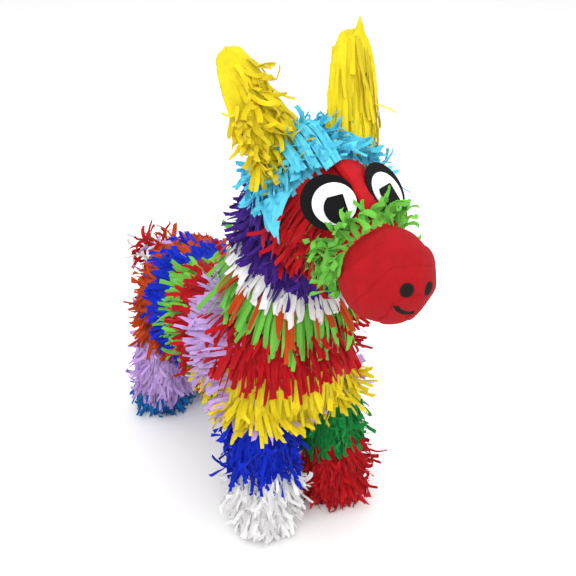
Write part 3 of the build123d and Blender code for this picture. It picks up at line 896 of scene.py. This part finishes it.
# ---------------------------------------------------------------- ears
@dataclass(frozen=True)
class Ear:
    side: int

    @property
    def root(self):
        return np.array((self.side * 0.041, -0.107, 0.440))

    @property
    def up(self):
        return unit(np.array((self.side * 0.029, 0.042, 0.100)))

    @property
    def out(self):
        facing = np.array((0.0, -0.92, 0.39))
        return unit(facing - self.up * (facing @ self.up))

    @property
    def across(self):
        return np.cross(self.up, self.out)

    def at(self, across, up, out):
        flat = self.root + across[..., None] * self.across + up[..., None] * self.up
        return flat + out[..., None] * self.out


EAR_LENGTH, EAR_HALF, EAR_WIDEST, EAR_TIP, EAR_SUNK = 0.112, 0.023, 0.045, 0.013, 0.014
SLEEVE_GAP = 1.4 * MM  # between the card's edge and the sleeve at the tip


def ear_half(up):
    """Half the width of the ear at a height up it."""
    narrowing = np.where(up < EAR_WIDEST, 2.31, 3.0) * (up - EAR_WIDEST) ** 2
    tip_middle = EAR_LENGTH - EAR_TIP
    tip = np.sqrt(np.maximum(EAR_TIP**2 - np.maximum(up - tip_middle, 0) ** 2, 0))
    return np.minimum(EAR_HALF - narrowing, tip + np.where(up < tip_middle, 1.0, 0.0))


def ear_sleeve(ear, name, loose):
    """Tissue folded over the ear's card: a sleeve, fuller in front, and wider than the card by loose."""
    up = -EAR_SUNK + (EAR_LENGTH + 1.2 * MM + EAR_SUNK) * (1 - (1 - np.linspace(0, 1, 60)) ** 1.6)
    grid_up, grid_a = np.meshgrid(up, np.linspace(0, 2 * pi, 65), indexing="ij")
    half = ear_half(np.minimum(grid_up, EAR_LENGTH - 0.01 * MM))
    half = half + SLEEVE_GAP + (loose - SLEEVE_GAP) * smooth(half, 0, 0.012)
    front = np.sin(grid_a)
    folds = 0.4 * MM * (np.sin(grid_a * 6 + grid_up * 70) + np.sin(grid_a * 9 - grid_up * 160 + 1))
    swell = (0.6 + 0.4 * smooth(half, SLEEVE_GAP, 6 * MM)) * (1 - 0.95 * smooth(grid_up, EAR_LENGTH, up[-1]))
    depth = np.sign(front) * np.abs(front) ** 0.45
    out = swell * (depth * np.where(front > 0, 3.4, 3.0) * MM + np.abs(front) * folds) + 0.2 * MM
    points = ear.at(half * np.cos(grid_a), grid_up, out)
    normal = unit(np.cos(grid_a)[..., None] * ear.across + front[..., None] * ear.out)
    return sheet_mesh(name, points, normal, SHEET, TISSUE["yellow"])


LONG = Cut(length=0.038, width=0.0050, lift=6, stray=3, curl=-0.5, frizz=2, wild=0.0, clear=0.002, uneven=0.2)
RAGGED = replace(LONG, length=0.025, lift=18, stray=14, frizz=9, wild=0.35, droop=0.05)


def ear_point(ear, name):
    """A pointed end of tissue that stands up past the tip of an ear."""
    u, v = np.meshgrid(np.linspace(0, 1, 24), np.linspace(-1, 1, 16), indexing="ij")
    across = (4 + 3 * u + v * (15 - 13 * u)) * MM
    up = (88 + 33 * u - 5 * u * v) * MM
    out = (3.2 + 0.5 * np.sin(7 * v + 4 * u)) * MM
    outward = np.broadcast_to(ear.out, (*u.shape, 3))
    return sheet_mesh(name, ear.at(across, up, out), outward, SHEET, TISSUE["yellow"])


def edge_tufts(ear, cut, heights, count=7):
    """Strands that stand out from the right edge of an ear, low down."""
    rows = []
    for height in heights:
        across = -float(ear_half(np.array(height))) * rng.uniform(0.5, 1.1, count)
        points = ear.at(across, height + rng.normal(0, 0.003, count), np.full(count, 0.002))
        out, heading = unit(ear.out - 0.6 * ear.across), unit(-0.5 * ear.across - ear.up)
        rows.append((Roots(points, np.tile(out, (count, 1)), np.tile(heading, (count, 1))), cut))
    return rows


def ear_rows(ear, cut, heights, loose, bare, spread):
    """Rows across the front of an ear that hang towards its root.

    A share of its right edge stays bare, which grows to bare of its whole width at the tip.
    """
    rows = []
    for height in heights:
        half = float(ear_half(np.array(height))) + loose * 0.8
        across = np.arange(-half * (1 - 2 * bare * height / EAR_LENGTH), half, 0.0044)
        across = across + rng.normal(0, 0.0004, len(across))
        up = np.full(len(across), height) + rng.normal(0, 0.0025, len(across))
        bulge = 3.0 * MM * np.sqrt(np.maximum(1 - (across / half) ** 2, 0))
        fan = (across / half)[:, None] * ear.across
        points = ear.at(across, up, bulge)
        rows.append((Roots(points, unit(ear.out + 0.8 * fan), unit(spread * fan - ear.up)), cut))
    return rows


def dress_ear(name, rows, sheets):
    show(f"ear_tissue_sleeve_{name}", sheets, node=f"ear_tissue_{name}")
    fringe(f"fringe_ear_{name}", "yellow", rows, node=f"ear_fringe_{name}")


def right_ear():
    """Ragged, with its outer edge left smooth above and tufted below."""
    ear, loose = Ear(-1), 0.0030
    rows = ear_rows(ear, RAGGED, np.arange(0.006, 0.100, 0.008), loose, 0.6, 0.25)
    rows += edge_tufts(ear, replace(RAGGED, lift=30), np.arange(0.014, 0.066, 0.009))
    dress_ear("right", rows, [ear_sleeve(ear, "ear_sleeve", loose)])


def left_ear():
    """Combed straight, with a pointed tip."""
    ear, loose = Ear(1), 0.0050
    rows = ear_rows(ear, LONG, np.arange(0.018, 0.104, 0.012), loose, 0.0, 0.02)
    dress_ear("left", rows, [ear_sleeve(ear, "ear_sleeve", loose), ear_point(ear, "ear_point")])


right_ear()
left_ear()

# ---- the tail
TUFT = Cut(length=0.034, lift=55, stray=45, frizz=7, droop=0.07, wild=0.2)
TAIL_COLOURS = ("orange", "red", "orange", "white", "red", "lilac", "red", "red", "white")
tail_rings = [ring(TAIL, x, 0.0034) for x in np.linspace(0.008, 0.064, len(TAIL_COLOURS))]
tail_rows = [(roots, TUFT, own) for roots, own in zip(tail_rings, TAIL_COLOURS)]
fringe("fringe_tail", "red", tail_rows, node="tail_fringe_red")

# ---- the fill flap
FLAP_CUT = Cut(length=0.020, lift=8, stray=6, frizz=4, wild=0.05, droop=0.0)


def dress_flap(colour, places, edges):
    rows = [(ring(BARREL, MIDDLE + x * MM, arc=(-21, 18)), FLAP_CUT) for x in places]
    low, high = (MIDDLE + x * MM for x in edges)
    skin = band(f"flap_{colour}_skin", BARREL, low, high, colour, 0.0012, arc=(-22, 20.5))
    fringe(f"fringe_flap_{colour}", colour, rows, [skin], "flap", f"flap_fringe_{colour}")


dress_flap("blue", (39, 46, 53, 60), (35.4, 74))
dress_flap("orange", (67, 74), (74.2, 88.2))


# ---------------------------------------------------------------- the muzzle, wound with a strip of tissue
SNOUT = unit(np.array((-0.06, -0.86, -0.50)))  # the strip is wound round this way
NOSTRILS = ((-11.7, -40.1, 6.1), (11.6, -40.6, 1.5))  # from the middle of the ball, in millimetres
NOSTRIL_RADIUS = 7.6
SMILE_MIDDLE, SMILE_RADIUS, SMILE_HALF_WIDTH = (-1.0, -37.0, 3.0), 22.0, 2.0


def painted(place):
    """How black the paint is at places on the muzzle, in millimetres from the middle of the ball."""
    ink = np.zeros(len(place))
    for nostril in NOSTRILS:
        far = np.linalg.norm(place - nostril, axis=-1)
        ink = np.maximum(ink, 1 - smooth(far, NOSTRIL_RADIUS * 0.5, NOSTRIL_RADIUS * 1.25))
    x, y, z = (place - SMILE_MIDDLE).T
    arc = np.abs(np.hypot(x, z) - SMILE_RADIUS)
    within = smooth(-z, 9, 11) * smooth(4 - y, 0, 1) * smooth(-x, -3, 1)
    return np.maximum(ink, (1 - smooth(arc, SMILE_HALF_WIDTH * 0.6, SMILE_HALF_WIDTH * 1.5)) * within)


def muzzle():
    down, around = np.linspace(0.004, pi - 0.35, 170), np.linspace(0, 2 * pi, 273)
    polar, azimuth = np.meshgrid(down, around, indexing="ij")
    first = unit(np.cross(SNOUT, UP))
    radial = np.cos(azimuth)[..., None] * first + np.sin(azimuth)[..., None] * np.cross(SNOUT, first)
    out = np.cos(polar)[..., None] * SNOUT + np.sin(polar)[..., None] * radial
    wander = 0.10 * np.sin(azimuth * 2 + 1.3) + 0.05 * np.sin(azimuth * 5 + polar * 3)
    wander = wander + 0.02 * np.sin(azimuth * 13)
    winding = polar / 0.62 - azimuth / (2 * pi) + wander
    part = winding - np.floor(winding)
    lap = 1.5 * MM * (part**0.7 - smooth(part, 0.97, 1.0))
    dents = 0.5 * MM * (np.sin(out[..., 0] * 7 + 1) + np.sin(out[..., 2] * 9 + out[..., 1] * 5))
    points = np.array(MUZZLE.start) + out * (MUZZLE.start_radius - 0.3 * MM + lap + dents)[..., None]
    mesh = sheet_mesh("muzzle_wrap_wound", points, out, 0.5 * MM, wound_tissue(MUZZLE_RED))
    place = np.empty(len(mesh.vertices) * 3, np.float32)
    mesh.vertices.foreach_get("co", place)
    paint_points(mesh, "ink", painted((place.reshape(-1, 3) - np.array(MUZZLE.start)) / MM))
    return show("muzzle_wrap_wound", [mesh], node="muzzle_wrap")


muzzle()


# ---------------------------------------------------------------- finishes of the pieces that CAD made
def finish_cad():
    mache, grey = papier_mache(), card("grey_card", (0.5, 0.46, 0.4), 0.8)
    black = card("black_card", (0.004, 0.004, 0.005), 0.6, 0.08)
    white = card("white_card", (0.85, 0.85, 0.84), 0.5)
    shells = ("body_shell", "neck_shell", "head_shell", "muzzle_ball", "tail_core", "fill_flap")
    finishes = dict.fromkeys(shells, mache) | {"hanger_dowel": wood(), "hanger_loop": wire()}
    for name in LEGS:
        finishes |= {f"leg_tube_{name}": mache, f"foot_disc_{name}": grey}
    for name in ("left", "right"):
        finishes |= {f"eye_backing_{name}": black, f"eye_white_{name}": white, f"eye_pupil_{name}": black}
        finishes[f"ear_card_{name}"] = grey
    for node, material in finishes.items():
        mesh = frame["nodes"][node].data
        mesh.materials.clear()
        mesh.materials.append(material)


finish_cad()


# ---------------------------------------------------------------- studio and camera
FLOOR_SIZE = 60
LIGHTS = (  # name, place, size and power
    ("key", (-1.3, -1.4, 1.9), 1.6, 26),
    ("fill", (1.6, -1.0, 1.2), 1.6, 10),
    ("top", (0.0, 0.5, 2.2), 1.8, 12),
)
LIT = Vector((0, 0, 0.25))  # where the lights point


def studio():
    world = bpy.data.worlds.new("studio")
    bpy.context.scene.world = world
    world.use_nodes = True
    world.node_tree.nodes["Background"].inputs["Color"].default_value = (1, 1, 1, 1)
    world.node_tree.nodes["Background"].inputs["Strength"].default_value = 1.0
    bpy.ops.mesh.primitive_plane_add(size=FLOOR_SIZE)
    floor = bpy.context.object
    floor.name = "floor"
    paint = Paint("floor", (0.93, 0.93, 0.93), roughness=0.95)
    speck = paint.noise(40.0, 3.0, paint.place())
    paint.colour(paint.mix(speck, (0.92, 0.92, 0.92), (0.94, 0.94, 0.94)))
    floor.data.materials.append(paint.material)
    for name, place, size, power in LIGHTS:
        light = bpy.data.lights.new(name, "AREA")
        light.size = size
        light.energy = power
        lamp = bpy.data.objects.new(name, light)
        lamp.location = place
        lamp.rotation_mode = "QUATERNION"
        lamp.rotation_quaternion = (LIT - Vector(place)).to_track_quat("-Z", "Y")
        bpy.context.scene.collection.objects.link(lamp)


CAMERA_PLACE = Vector((-0.45217, -0.74897, 0.71361))
CAMERA_YAW, CAMERA_PITCH = radians(33.19), radians(-27.73)
LENS = 55.28


def aim_camera():
    data = bpy.data.cameras.new("camera")
    data.lens, data.sensor_width = LENS, 36.0
    camera = bpy.data.objects.new("camera", data)
    bpy.context.scene.collection.objects.link(camera)
    level = cos(CAMERA_PITCH)
    ahead = Vector((sin(CAMERA_YAW) * level, cos(CAMERA_YAW) * level, sin(CAMERA_PITCH)))
    camera.location = CAMERA_PLACE
    camera.rotation_mode = "QUATERNION"
    camera.rotation_quaternion = ahead.to_track_quat("-Z", "Y")
    bpy.context.scene.camera = camera


studio()
aim_camera()
bpy.context.scene.view_settings.view_transform = "Standard"
